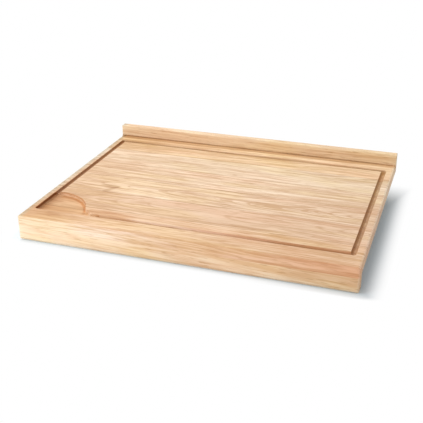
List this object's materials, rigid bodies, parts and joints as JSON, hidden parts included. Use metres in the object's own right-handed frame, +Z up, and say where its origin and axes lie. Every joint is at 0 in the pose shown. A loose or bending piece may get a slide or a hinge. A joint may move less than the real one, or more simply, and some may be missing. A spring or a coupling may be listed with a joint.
{
  "type": "worktop cutting board",
  "caption": "Edge-glued wooden cutting board with a juice groove, a corner well, a front lip that hooks over a worktop edge and a low upstand along the back.",
  "frame": {"origin": "middle of the footprint, at the height of the lip's lower edge", "axes": "+X along the grain to the right as seen from the lip side, +Y to the back, towards the upstand, +Z up"},
  "size_m": [0.6, 0.46, 0.0695],
  "materials": {
    "panel_wood": "oiled satin",
    "lip_wood": "oiled satin",
    "upstand_wood": "oiled satin",
    "dowel_wood": "raw turned"
  },
  "bodies": {
    "root": {"panel_stave_1": "panel_wood", "panel_stave_2": "panel_wood", "panel_stave_3": "panel_wood", "panel_stave_4": "panel_wood", "panel_stave_5": "panel_wood", "panel_stave_6": "panel_wood", "panel_stave_7": "panel_wood", "front_lip": "lip_wood", "lip_dowels": "dowel_wood", "back_upstand": "upstand_wood", "upstand_dowels": "dowel_wood"}
  },
  "joints": []
}
